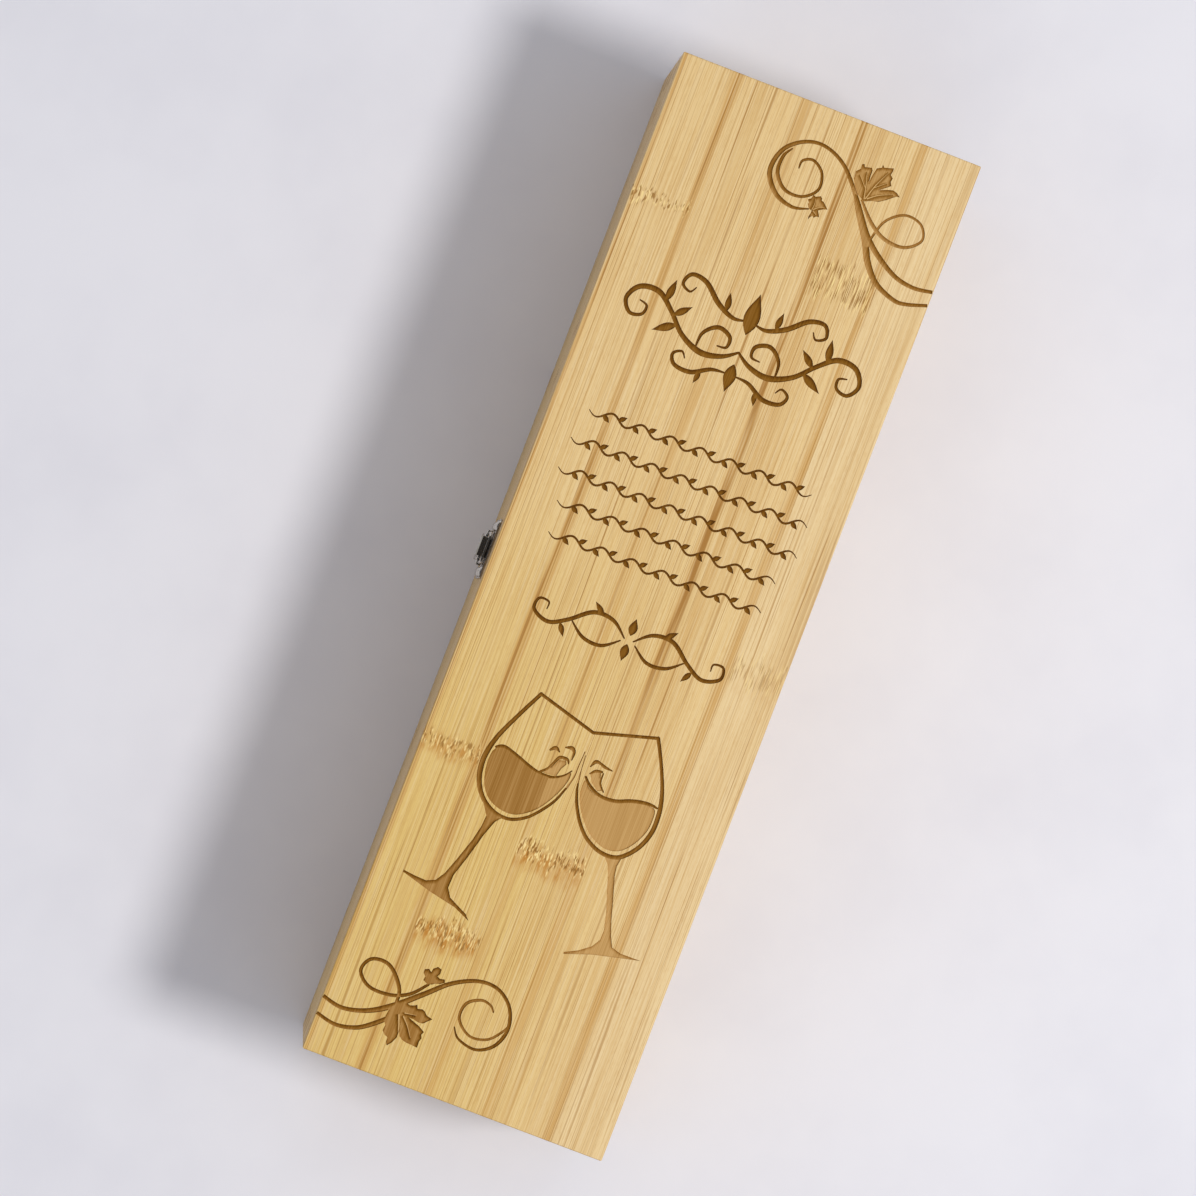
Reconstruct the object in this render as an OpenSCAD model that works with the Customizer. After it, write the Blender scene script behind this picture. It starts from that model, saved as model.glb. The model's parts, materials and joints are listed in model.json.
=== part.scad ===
// Hinged wooden box for one wine bottle, laid on its side.
// Origin: middle of the underside. +X runs along the bottle, the latch is on the -Y side,
// the hinges are on the +Y side, +Z is up.

/* [Box] */
// Outer length, along the bottle
box_length = 350; // [300:1:420]
// Outer width, across the bottle
box_width = 105; // [100:1:130]
// Outer height with the lid closed
box_height = 105; // [100:1:130]
// Height of the lid, its panel and rails together
lid_height = 30; // [25:1:40]
// Gap between the two rims when the box is closed
rim_gap = 0.3; // [0.2:0.05:0.6]
// Radius of the upright outer corners
corner_r = 0.6; // [0.5:0.1:3]

/* [Boards] */
// Thickness of the walls and of the lid's rails
wall_t = 8; // [6.5:0.5:10]
// Thickness of the lid panel
lid_board_t = 6; // [5:0.5:8]
// Radius along the top edges of the lid panel
lid_edge_r = 0.6; // [0.5:0.1:3]
// Thickness of the base panel
base_board_t = 5; // [4:0.5:8]
// How far the base panel is let into the walls
base_rabbet = 4; // [2:0.5:5]
// Layers in each corner joint of the body, an odd number
body_fingers = 7; // [3:2:11]
// Layers in each corner joint of the lid, an odd number
lid_fingers = 3; // [1:2:5]

/* [Bottle cradles] */
// Radius of the bottle's body
bottle_r = 39; // [36:0.5:41]
// Radius of the bottle's neck
neck_r = 15; // [12:0.5:18]
// Room round the bottle in the cradles
bottle_gap = 1; // [0.5:0.1:2]
// Height of the bottle's lowest side over the base panel
bottle_lift = 3; // [2:0.5:6]
// Thickness of the cradle boards
cradle_t = 8; // [6:0.5:12]
// Distance from the middle of the box to the cradle under the bottle's body
body_cradle_x = 95; // [60:1:130]
// Distance from the middle of the box to the cradle under the neck
neck_cradle_x = 110; // [80:1:130]
// How far the body cradle's top edge stays below the bottle's axis
body_cradle_drop = 12; // [8:1:20]
// Room between the end of a cradle board and the wall
cradle_gap = 0.15; // [0.05:0.05:0.5]

/* [Screws] */
// Radius of a screw's shank
screw_r = 1; // [0.8:0.1:1.2]
// Length of a screw in the wood
screw_length = 5.5; // [4:0.5:6]
// Radius of a screw's head
head_r = 1.9; // [1.6:0.1:2.2]
// Height of the domed heads on the latch
dome_h = 1; // [0.8:0.1:1.2]
// Room round a shank in the wood and in the metal plates
screw_gap = 0.05; // [0.03:0.01:0.1]
// Depth of the pilot holes past the tips of the screws
pilot_spare = 0.4; // [0.2:0.1:1]
// Width of the arms of the cross recess
recess_w = 0.5; // [0.4:0.05:0.6]
// Depth of the cross recess
recess_d = 0.55; // [0.4:0.05:0.6]

/* [Hinges] */
// Distance between the middles of the two hinges
hinge_spacing = 220; // [160:1:260]
// Width of a hinge, along the box
hinge_w = 25; // [20:1:30]
// Height of a leaf, from the pin's axis to its edge
leaf_h = 13; // [11:0.5:15]
// Thickness of a leaf
leaf_t = 0.7; // [0.6:0.05:0.8]
// Distance of the pin's axis from the back of the box
hinge_offset = 1.1; // [1.1:0.05:1.5]
// Outer radius of the knuckles
knuckle_r = 1; // [0.9:0.05:1.05]
// Knuckles on a hinge, an odd number
knuckles = 5; // [3:2:7]
// Room between the knuckles and the flat of the leaves
knuckle_gap = 0.3; // [0.2:0.05:0.5]
// Radius of the leaves' corners
leaf_corner_r = 1; // [0.5:0.1:2]
// Radius of the hinge pin
hinge_pin_r = 0.5; // [0.4:0.05:0.6]
// Distance between the two screws of a leaf
hinge_screw_pitch = 15; // [12:0.5:18]

/* [Latch plates] */
// Width of the latch's two plates
latch_w = 21; // [19:0.5:24]
// Thickness of the latch's sheet metal
latch_t = 0.8; // [0.7:0.05:0.9]
// Distance from the lower rim down to the base plate's top edge
base_plate_top = 7; // [6:0.5:7.5]
// Height of the base plate
base_plate_h = 18; // [17:0.5:22]
// Height of the catch plate
catch_plate_h = 9.5; // [8:0.5:12]
// Radius of the plates' corners
plate_corner_r = 1.5; // [0.5:0.1:2.5]
// Distance of the screws from a plate's side edge
plate_screw_inset = 2.4; // [2.2:0.1:3]
// Distance of the base plate's screws from its top and bottom edge
base_screw_inset = 3.6; // [3:0.1:4.5]

/* [Latch lever and bail] */
// Distance of the lever pin from the face of the box
lever_pin_out = 2.2; // [2.1:0.05:2.6]
// Distance of the lever pin below the lower rim
lever_pin_down = 9; // [8.8:0.1:10]
// Radius of the lever pin and of the bail pin
latch_pin_r = 0.6; // [0.5:0.05:0.65]
// Radius of the metal round the lever pin
ear_r = 1.2; // [1.1:0.05:1.25]
// Distance from the lever pin down to the bail pin
bail_pin_drop = 2; // [2:0.05:2.4]
// How much nearer to the box the bail pin is than the lever pin
bail_pin_set = 0.2; // [0:0.05:0.2]
// Half of the space between the ears of the base plate
ear_inner = 2.9; // [2.6:0.1:3]
// Length of the lever below its pin
lever_length = 13; // [12:0.5:14]
// Thickness of the lever's front web
web_t = 0.6; // [0.5:0.05:0.8]
// How far below the bail pin the front web starts
web_drop = 1; // [0.8:0.1:2]
// How far the lip at the lever's end flares out
lip_out = 0.4; // [0:0.1:1]
// Height of the lip
lip_down = 2; // [1:0.1:3]
// Radius of the bail's wire
wire_r = 0.5; // [0.4:0.05:0.6]
// Radius of the eyes at the ends of the bail
eye_r = 1.1; // [1:0.05:1.15]
// Length of the bail, from its pin to the middle of its top bar
bail_length = 16; // [15:0.5:18]
// Radius of the bail's two bends
bend_r = 1.5; // [1:0.1:2]
// Lean of the bail towards the box, in degrees
bail_lean = 0.7; // [0.3:0.1:1]
// Half of the hook's width
hook_half_w = 3.4; // [2.5:0.1:3.6]
// Angle to which the hook curls up in front of the bar
hook_curl = 48; // [35:1:55]
// Room between the hook and the bail's top bar
hook_gap = 0.1; // [0.05:0.01:0.2]
// Room between neighbouring latch pieces, side by side
side_gap = 0.1; // [0.08:0.01:0.15]
// Running fit round the pins of hinges and latch, on the radius
pin_fit = 0.05; // [0.03:0.01:0.08]

/* [Hidden] */
$fn = 48;

past = 1;           // how far a cut runs past a face
bamboo = [0.86, 0.73, 0.51];
bamboo_dark = [0.8, 0.65, 0.43];
nickel = [0.8, 0.8, 0.8];

seam_z = box_height - lid_height;
lid_rim_z = seam_z + rim_gap;
rail_top_z = box_height - lid_board_t;
hinge_z = seam_z + rim_gap / 2;
inner_length = box_length - 2 * wall_t;
inner_width = box_width - 2 * wall_t;
bottle_z = base_board_t + bottle_lift + bottle_r;
pilot_depth = screw_length + pilot_spare;

// Latch points, on the face of the box: [distance out of the face, height over the lower rim]
lever_pin = [lever_pin_out, -lever_pin_down];
bail_pin = lever_pin - [bail_pin_set, bail_pin_drop];
bail_bar = bail_pin + bail_length * [-sin(bail_lean), cos(bail_lean)];
hook_mid = bail_bar + lever_pin - bail_pin;
hook_inner_r = norm(lever_pin - bail_pin) + wire_r + hook_gap;
hook_outer_r = hook_inner_r + latch_t;
catch_bottom = hook_mid[1] - hook_outer_r;
cheek_inner = ear_inner + latch_t + side_gap;
cheek_outer = cheek_inner + latch_t;
arm_x = cheek_outer + side_gap + wire_r;
lever_out = lever_pin_out + ear_r;
lever_tip = -lever_pin_down - lever_length;
web_top = bail_pin[1] - latch_pin_r - web_drop;

plate_screw_x = latch_w / 2 - plate_screw_inset;
base_screw_spots = [
    for (sx = [-1, 1], z = [base_screw_inset, base_plate_h - base_screw_inset])
        [sx * plate_screw_x, -base_plate_top - z]
];
catch_screw_spots = [for (sx = [-1, 1]) [sx * plate_screw_x, catch_bottom + catch_plate_h / 2]];
leaf_start = knuckle_r + knuckle_gap;
hinge_screw_z = (leaf_start + leaf_h) / 2;
hinge_xs = [-hinge_spacing / 2, hinge_spacing / 2];

function leaf_screw_xs() = [-hinge_screw_pitch / 2, hinge_screw_pitch / 2];

// Outlines and placing

module rounded_rect(w, h, r) {
    square([w - 2 * r, h], center = true);
    square([w, h - 2 * r], center = true);
    for (sx = [-1, 1], sy = [-1, 1])
        translate([sx * (w / 2 - r), sy * (h / 2 - r)]) circle(r);
}

// A rectangle standing on the first axis, with its two upper corners rounded
module crowned_rect(w, h, r) {
    translate([-w / 2, 0]) square([w, h - r]);
    translate([-w / 2 + r, 0]) square([w - 2 * r, h]);
    for (s = [-1, 1])
        translate([s * (w / 2 - r), h - r]) circle(r);
}

// Extrudes an outline drawn in Y and Z from x0 to x1
module along_x(x0, x1) {
    translate([x0, 0, 0]) rotate([90, 0, 90]) linear_extrude(height = x1 - x0) children();
}

// Extrudes an outline drawn in X and Z, from the face at y = 0 outwards
module on_face(t) {
    translate([0, t, 0]) rotate([90, 0, 0]) linear_extrude(height = t) children();
}

// Back face of the box at the height of the hinge pins, +Y outwards
module at_back() {
    translate([0, box_width / 2, hinge_z]) children();
}

// Front face of the box at the lower rim, +Y outwards
module at_front() {
    rotate([0, 0, 180]) translate([0, box_width / 2, seam_z]) children();
}

// Holes through the plates and into the wood, at spots given as [x, z]
module screw_holes(spots, depth) {
    for (spot = spots)
        translate([spot[0], past, spot[1]]) rotate([90, 0, 0]) cylinder(r = screw_r + screw_gap, h = past + depth);
}

module hinge_screw_holes(up) {
    for (x = hinge_xs)
        screw_holes([for (sx = leaf_screw_xs()) [x + sx, up * hinge_screw_z]], pilot_depth);
}

// Boards

// Every other layer of the four corners, which belongs to the neighbouring board
module corner_layers(z0, z1, count, first) {
    step = (z1 - z0) / count;
    side = wall_t + past;
    for (sx = [-1, 1], sy = [-1, 1], i = [first:2:count - 1])
        translate([
            sx * (box_length / 2 - wall_t + side / 2),
            sy * (box_width / 2 - wall_t + side / 2),
            z0 + (i + 0.5) * step
        ])
            cube([side, side, step], center = true);
}

module outline(z0, z1) {
    translate([0, 0, z0]) linear_extrude(height = z1 - z0) rounded_rect(box_length, box_width, corner_r);
}

// A board along the front (side = -1) or the back (side = 1)
module long_board(side, z0, z1, count) {
    difference() {
        intersection() {
            outline(z0, z1);
            translate([-box_length / 2, side * (box_width - wall_t) / 2 - wall_t / 2, z0])
                cube([box_length, wall_t, z1 - z0]);
        }
        corner_layers(z0, z1, count, 1);
    }
}

// A board across the left (side = -1) or the right (side = 1) end
module end_board(side, z0, z1, count) {
    difference() {
        intersection() {
            outline(z0, z1);
            translate([side * (box_length - wall_t) / 2 - wall_t / 2, -box_width / 2, z0])
                cube([wall_t, box_width, z1 - z0]);
        }
        corner_layers(z0, z1, count, 0);
    }
}

module base_blank(extra) {
    translate([-inner_length / 2 - base_rabbet, -inner_width / 2 - base_rabbet, -extra])
        cube([inner_length + 2 * base_rabbet, inner_width + 2 * base_rabbet, base_board_t + extra]);
}

module base_panel() {
    color(bamboo_dark) base_blank(0);
}

module front_wall() {
    color(bamboo) difference() {
        long_board(-1, 0, seam_z, body_fingers);
        base_blank(past);
        at_front() screw_holes(base_screw_spots, pilot_depth);
    }
}

module back_wall() {
    color(bamboo) difference() {
        long_board(1, 0, seam_z, body_fingers);
        base_blank(past);
        at_back() hinge_screw_holes(-1);
    }
}

module end_wall(side) {
    color(bamboo_dark) difference() {
        end_board(side, 0, seam_z, body_fingers);
        base_blank(past);
    }
}

module left_end_wall() {
    end_wall(-1);
}

module right_end_wall() {
    end_wall(1);
}

// A board across the inside of the box with a round notch for the bottle
module cradle(x, top_z, notch_r) {
    width = inner_width - 2 * cradle_gap;
    color(bamboo_dark) translate([x - cradle_t / 2, 0, 0]) along_x(0, cradle_t) difference() {
        translate([-width / 2, base_board_t]) square([width, top_z - base_board_t]);
        translate([0, bottle_z]) circle(notch_r);
    }
}

module neck_cradle() {
    cradle(-neck_cradle_x, bottle_z, neck_r + bottle_gap);
}

module body_cradle() {
    cradle(body_cradle_x, bottle_z - body_cradle_drop, bottle_r + bottle_gap);
}

module lid_panel() {
    color(bamboo) intersection() {
        outline(rail_top_z, box_height);
        translate([0, 0, rail_top_z]) along_x(-box_length / 2, box_length / 2)
            crowned_rect(box_width, lid_board_t, lid_edge_r);
        translate([0, -box_width / 2, rail_top_z]) on_face(box_width)
            crowned_rect(box_length, lid_board_t, lid_edge_r);
    }
}

module lid_front_rail() {
    color(bamboo) difference() {
        long_board(-1, lid_rim_z, rail_top_z, lid_fingers);
        at_front() screw_holes(catch_screw_spots, pilot_depth);
    }
}

module lid_back_rail() {
    color(bamboo) difference() {
        long_board(1, lid_rim_z, rail_top_z, lid_fingers);
        at_back() hinge_screw_holes(1);
    }
}

module lid_left_end_rail() {
    color(bamboo_dark) end_board(-1, lid_rim_z, rail_top_z, lid_fingers);
}

module lid_right_end_rail() {
    color(bamboo_dark) end_board(1, lid_rim_z, rail_top_z, lid_fingers);
}

// Screws, with the underside of the head at y = 0 and the shank towards -Y

module shank() {
    tip = 1.5 * screw_r;
    translate([0, dome_h / 4, 0]) rotate([90, 0, 0]) cylinder(r = screw_r, h = dome_h / 4 + screw_length - tip);
    translate([0, tip - screw_length, 0]) rotate([90, 0, 0]) cylinder(r1 = screw_r, r2 = screw_r / 5, h = tip);
}

module cross_recess(top) {
    arm = 0.6 * head_r;
    for (a = [0, 90])
        rotate([0, a, 0]) translate([-arm, top - recess_d, -recess_w / 2])
            cube([2 * arm, recess_d + past, recess_w]);
}

module domed_screw() {
    ball_r = (head_r * head_r + dome_h * dome_h) / (2 * dome_h);
    difference() {
        union() {
            rotate([-90, 0, 0]) rotate_extrude() intersection() {
                translate([0, dome_h - ball_r]) circle(ball_r);
                square([head_r, dome_h + past]);
            }
            shank();
        }
        cross_recess(dome_h);
    }
}

// The head fills the countersink of a leaf
module flush_screw() {
    difference() {
        union() {
            rotate([-90, 0, 0]) cylinder(r1 = screw_r, r2 = head_r, h = leaf_t);
            shank();
        }
        cross_recess(leaf_t);
    }
}

module screws_at(spots, out) {
    for (spot = spots)
        translate([spot[0], out, spot[1]]) children();
}

// Hinges

function knuckle_x(i) = -hinge_w / 2 + i * hinge_w / knuckles;

module hinge_leaf(first) {
    lap = 1.5 * leaf_corner_r;
    difference() {
        union() {
            on_face(leaf_t) translate([0, (leaf_start + leaf_h) / 2])
                rounded_rect(hinge_w, leaf_h - leaf_start, leaf_corner_r);
            for (i = [first:2:knuckles - 1])
                along_x(knuckle_x(i) + side_gap / 2, knuckle_x(i + 1) - side_gap / 2) {
                    square([leaf_t, leaf_start + lap]);
                    translate([hinge_offset, 0]) circle(knuckle_r);
                }
        }
        along_x(-hinge_w, hinge_w) translate([hinge_offset, 0]) circle(hinge_pin_r + pin_fit);
        for (x = leaf_screw_xs())
            translate([x, 0, hinge_screw_z]) {
                translate([0, -past, 0]) rotate([-90, 0, 0]) cylinder(r = screw_r + screw_gap, h = 3 * past);
                rotate([-90, 0, 0]) cylinder(r1 = screw_r + screw_gap, r2 = head_r + screw_gap, h = leaf_t);
            }
    }
}

module body_leaf(x) {
    color(nickel) at_back() translate([x, 0, 0]) mirror([0, 0, 1]) hinge_leaf(0);
}

module lid_leaf(x) {
    color(nickel) at_back() translate([x, 0, 0]) hinge_leaf(1);
}

module hinge_pin(x) {
    button_t = 0.5;
    button_r = 0.75 * knuckle_r;
    half = hinge_w / 2 + side_gap;
    color(nickel) at_back() translate([x, hinge_offset, 0]) {
        along_x(-half, half) circle(hinge_pin_r);
        for (x0 = [-half - button_t, half])
            along_x(x0, x0 + button_t) circle(button_r);
    }
}

module hinge_a_body_leaf() {
    body_leaf(hinge_xs[0]);
}

module hinge_a_lid_leaf() {
    lid_leaf(hinge_xs[0]);
}

module hinge_a_pin() {
    hinge_pin(hinge_xs[0]);
}

module hinge_b_body_leaf() {
    body_leaf(hinge_xs[1]);
}

module hinge_b_lid_leaf() {
    lid_leaf(hinge_xs[1]);
}

module hinge_b_pin() {
    hinge_pin(hinge_xs[1]);
}

module hinge_screws(up) {
    color(nickel) at_back() screws_at([
        for (x = hinge_xs, sx = leaf_screw_xs()) [x + sx, up * hinge_screw_z]
    ], 0) flush_screw();
}

module hinge_body_screws() {
    hinge_screws(-1);
}

module hinge_lid_screws() {
    hinge_screws(1);
}

// Latch

module latch_plate(bottom, height, spots) {
    difference() {
        on_face(latch_t) translate([0, bottom + height / 2]) rounded_rect(latch_w, height, plate_corner_r);
        screws_at(spots, 2 * past) rotate([90, 0, 0]) cylinder(r = screw_r + screw_gap, h = 4 * past);
    }
}

module latch_base_plate() {
    color(nickel) at_front() {
        latch_plate(-base_plate_top - base_plate_h, base_plate_h, base_screw_spots);
        for (x0 = [-ear_inner - latch_t, ear_inner])
            along_x(x0, x0 + latch_t) difference() {
                union() {
                    translate(lever_pin) circle(ear_r);
                    translate([latch_t / 2, lever_pin[1] - ear_r]) square([lever_pin[0] - latch_t / 2, 2 * ear_r]);
                }
                translate(lever_pin) circle(latch_pin_r + pin_fit);
            }
    }
}

module lever_cheek_outline() {
    difference() {
        union() {
            translate(lever_pin) circle(ear_r);
            translate(bail_pin) circle(eye_r);
            polygon([
                [lever_pin[0] - ear_r, lever_pin[1]],
                [lever_pin[0] + ear_r, lever_pin[1]],
                [lever_out, lever_tip],
                [lever_out - web_t, lever_tip],
                [bail_pin[0] - eye_r + side_gap, lever_tip + lever_length / 3]
            ]);
        }
        translate(lever_pin) circle(latch_pin_r + pin_fit);
        translate(bail_pin) circle(latch_pin_r + pin_fit);
    }
}

module latch_lever() {
    color(nickel) at_front() {
        for (x0 = [-cheek_outer, cheek_inner])
            along_x(x0, x0 + latch_t) lever_cheek_outline();
        along_x(-cheek_outer, cheek_outer) polygon([
            [lever_out - web_t, web_top],
            [lever_out, web_top],
            [lever_out, lever_tip],
            [lever_out + lip_out, lever_tip - lip_down],
            [lever_out + lip_out - web_t, lever_tip - lip_down - web_t / 3],
            [lever_out - web_t, lever_tip - web_t / 3]
        ]);
    }
}

module latch_lever_pin() {
    color(nickel) at_front() along_x(-cheek_outer, cheek_outer) translate(lever_pin) circle(latch_pin_r);
}

module bail_corner() {
    translate([arm_x - bend_r, 0, bail_length - bend_r]) rotate([90, 0, 0])
        rotate_extrude(angle = 90) translate([bend_r, 0]) circle(wire_r);
}

module bail_arm() {
    start = (eye_r + latch_pin_r) / 2;
    along_x(arm_x - wire_r, arm_x + wire_r) difference() {
        circle(eye_r);
        circle(latch_pin_r + pin_fit);
    }
    translate([arm_x, 0, start]) cylinder(r = wire_r, h = bail_length - bend_r - start);
    bail_corner();
}

module latch_bail() {
    color(nickel) at_front() translate([0, bail_pin[0], bail_pin[1]]) rotate([bail_lean, 0, 0]) {
        bail_arm();
        mirror([1, 0, 0]) bail_arm();
        along_x(bend_r - arm_x, arm_x - bend_r) translate([0, bail_length]) circle(wire_r);
    }
}

module latch_bail_pin() {
    button_t = 0.4;
    button_r = 1.6 * latch_pin_r;
    half = arm_x + wire_r + side_gap;
    color(nickel) at_front() translate([0, bail_pin[0], bail_pin[1]]) {
        along_x(-half, half) circle(latch_pin_r);
        for (x0 = [-half - button_t, half])
            along_x(x0, x0 + button_t) circle(button_r);
    }
}

module hook_outline() {
    reach = 2 * hook_outer_r;
    intersection() {
        difference() {
            circle(hook_outer_r);
            circle(hook_inner_r);
        }
        polygon([
            [0, 0],
            [latch_t / 2 - hook_mid[0], 0],
            [latch_t / 2 - hook_mid[0], -reach],
            [reach * tan(hook_curl), -reach]
        ]);
    }
}

module latch_catch_plate() {
    color(nickel) at_front() {
        latch_plate(catch_bottom, catch_plate_h, catch_screw_spots);
        along_x(-hook_half_w, hook_half_w) translate(hook_mid) hook_outline();
    }
}

module latch_base_screws() {
    color(nickel) at_front() screws_at(base_screw_spots, latch_t) domed_screw();
}

module latch_catch_screws() {
    color(nickel) at_front() screws_at(catch_screw_spots, latch_t) domed_screw();
}

base_panel();
front_wall();
back_wall();
left_end_wall();
right_end_wall();
neck_cradle();
body_cradle();
lid_panel();
lid_front_rail();
lid_back_rail();
lid_left_end_rail();
lid_right_end_rail();
hinge_a_body_leaf();
hinge_a_lid_leaf();
hinge_a_pin();
hinge_b_body_leaf();
hinge_b_lid_leaf();
hinge_b_pin();
hinge_body_screws();
hinge_lid_screws();
latch_base_plate();
latch_lever();
latch_lever_pin();
latch_bail();
latch_bail_pin();
latch_catch_plate();
latch_base_screws();
latch_catch_screws();
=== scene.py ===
import json
import math

import bpy
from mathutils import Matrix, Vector
from mathutils.bvhtree import BVHTree
from mathutils.geometry import delaunay_2d_cdt


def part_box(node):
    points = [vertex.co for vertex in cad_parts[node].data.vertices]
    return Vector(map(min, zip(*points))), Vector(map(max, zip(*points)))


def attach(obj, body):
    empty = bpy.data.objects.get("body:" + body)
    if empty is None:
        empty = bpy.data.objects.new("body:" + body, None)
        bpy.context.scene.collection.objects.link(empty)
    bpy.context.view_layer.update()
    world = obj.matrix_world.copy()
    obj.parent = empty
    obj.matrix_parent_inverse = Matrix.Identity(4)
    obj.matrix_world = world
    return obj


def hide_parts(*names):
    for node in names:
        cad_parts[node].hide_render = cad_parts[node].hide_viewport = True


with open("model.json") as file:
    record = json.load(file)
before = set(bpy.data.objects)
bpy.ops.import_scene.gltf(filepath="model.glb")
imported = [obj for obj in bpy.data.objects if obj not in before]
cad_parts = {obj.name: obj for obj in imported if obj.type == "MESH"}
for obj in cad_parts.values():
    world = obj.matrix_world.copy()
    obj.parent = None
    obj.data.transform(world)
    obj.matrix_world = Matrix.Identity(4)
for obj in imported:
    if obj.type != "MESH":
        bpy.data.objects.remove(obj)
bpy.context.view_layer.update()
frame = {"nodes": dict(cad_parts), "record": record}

# Bamboo wine box: an engraved lid over a finger-jointed box, with two butt hinges and a draw latch.
# Sizes in the dictionaries are millimetres, apart from those of the studio and the camera, which are
# metres, as in the scene itself.

mm = 0.001
lidLow, lidHigh = [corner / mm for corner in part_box("lid_panel")]
print("frame loaded,", len(frame["nodes"]), "nodes")


# Shader maths

class Socket:
    # an output socket; sums and products of sockets add their Math nodes
    def __init__(self, graph, link):
        self.graph = graph
        self.link = link

    def maths(self, operation, *values):
        return self.graph.node("ShaderNodeMath", dict(enumerate(values)), operation=operation)

    def __add__(self, other):
        return self.maths("ADD", self, other)

    def __sub__(self, other):
        return self.maths("SUBTRACT", self, other)

    def __rsub__(self, other):
        return self.maths("SUBTRACT", other, self)

    def __mul__(self, other):
        return self.maths("MULTIPLY", self, other)

    def __truediv__(self, other):
        return self.maths("DIVIDE", self, other)

    def __abs__(self):
        return self.maths("ABSOLUTE", self)

    __radd__ = __add__
    __rmul__ = __mul__

    def floor(self):
        return self.maths("FLOOR", self)

    def highest(self, other):
        return self.maths("MAXIMUM", self, other)

    def isNumber(self, number):
        return self.maths("COMPARE", self, number, 0.5)

    def rise(self, low, high):
        # 0 below low, 1 above high and smooth between; falls where low is the larger
        return self.graph.node("ShaderNodeMapRange", {"Value": self, "From Min": low, "From Max": high},
                               interpolation_type="SMOOTHSTEP")


class Graph:
    # the nodes of one material or of the world
    def __init__(self, tree):
        self.tree = tree

    def node(self, kind, sockets, out=0, stops=None, **settings):
        made = self.tree.nodes.new(kind)
        for name, value in settings.items():
            setattr(made, name, value)
        if stops:
            ramp = made.color_ramp.elements
            while len(ramp) < len(stops):
                ramp.new(1)
            for element, (position, colour) in zip(ramp, stops):
                element.position = position
                element.color = colour
        for name, value in sockets.items():
            self.feed(made.inputs[name], value)
        return Socket(self, made.outputs[out])

    def feed(self, socket, value):
        if isinstance(value, Socket):
            self.tree.links.new(value.link, socket)
        else:
            socket.default_value = value

    def mix(self, factor, first, second):
        # from the first colour to the second; a Mix node has its colours on sockets 6 and 7
        return self.node("ShaderNodeMix", {0: factor, 6: first, 7: second}, out=2, data_type="RGBA")

    def place(self):
        # the point on the piece in millimetres, in the frame's own axes
        point = self.node("ShaderNodeTexCoord", {}, out=3)
        return self.node("ShaderNodeVectorMath", {0: point, 3: 1 / mm}, operation="SCALE")

    def noise(self, point, scale, detail=2.0, roughness=0.5):
        return self.node("ShaderNodeTexNoise", {
            "Vector": point, "Scale": scale, "Detail": detail, "Roughness": roughness})


def tone(red, green, blue):
    # a colour given as it shows on a screen, 0 to 255
    return tuple(((part / 255 + 0.055) / 1.055) ** 2.4 for part in (red, green, blue)) + (1,)


def newMaterial(name):
    material = bpy.data.materials.new(name)
    material.use_nodes = True
    graph = Graph(material.node_tree)
    shader = material.node_tree.nodes["Principled BSDF"]
    return material, graph, shader


# Bamboo

# A noise of the grain is (features per millimetre across the fibres, how far drawn out along them, detail,
# seed). A tint is (noise, from, to, strength, colour), and tints are laid on in their order. Marks are the
# dark flecks and pale blooms of a knuckle, as (features per millimetre, how far drawn out).
bambooLook = {
    "base": tone(232, 199, 140),
    "pale": tone(236, 210, 162),
    "yellow": tone(224, 189, 111),
    "deep": tone(212, 172, 106),
    "amber": tone(200, 149, 72),
    "fibre": tone(162, 106, 14),
    "knuckle": tone(148, 98, 10),
    "stain": tone(190, 126, 34),
    "bloom": tone(250, 220, 148),
    "ends": tone(176, 132, 76),
    "noises": {"broad": (0.16, 40, 1.0, 0), "medium": (0.7, 90, 2.0, 1), "fine": (2.4, 90, 1.0, 3),
               "pores": (2.4, 6, 1.0, 8)},
    "tints": [("medium", 0.52, 0.74, 0.12, "amber"), ("medium", 0.46, 0.28, 0.15, "pale"),
              ("fine", 0.50, 0.68, 0.3, "amber"), ("fine", 0.50, 0.32, 0.32, "pale"),
              ("pores", 0.5, 0.72, 0.2, "amber")],
    "broadTint": 0.38,
    "jointTint": 0.35,
    "blooming": 0.85,
    "flecking": 0.95,
    "fewLines": {"spacing": 1.35, "width": 0.22},
    "manyLines": {"spacing": 0.75, "width": 0.15, "strength": 0.5},
    "marks": (1.7, 4),
    "longMarks": (2.6, 15),
    "longFrom": 3,
    "roughness": 0.5,
    "gloss": 0.3,
    "bumpHeight": 0.01,
}

# The lid's strips, from the middle of the lid: where they join, the amber bands along the joints as
# (from, to, strength), and the knuckles as (strip, place along, half length, marks, stain, stain's offset).
# The band from -52.5 lies on the shaded long edge, not a joint: it is painted shade of the rounded edge.
# It turns to a yellower, slightly darker tone between the first two places along, and between the last two
# across.
lidBoard = {
    "axes": (0, 1, 2),
    "joints": [-32.2, -10.1, 13.2, 34.5],
    "bands": [(-34.2, -31.0, 0.6), (-10.2, -7.0, 0.45), (9.8, 13.0, 0.5), (31.4, 34.3, 0.6),
              # (-52.5, -51.2, 0.7) is painted shade along the shaded long edge
              (-52.5, -51.2, 0.7), (16.0, 19.0, 0.25)],
    "bandBlur": 0.6,
    "knuckles": [(0, -127, 1.5, 0.9, 0.1, 2), (0, 65, 2.0, 0.8, 0.8, 1), (1, 123, 2.8, 0.85, 1.0, 1.5),
                 (2, 87.5, 2.4, 1.0, 1.0, 3), (3, -122, 6.0, 0.88, 0.1, 0), (4, 8, 4.5, 0.5, 0.2, 2)],
    "paleStrip": 4,
    "ripening": (-70, 90, 46, -20),
    "seed": 3.0,
}


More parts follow.
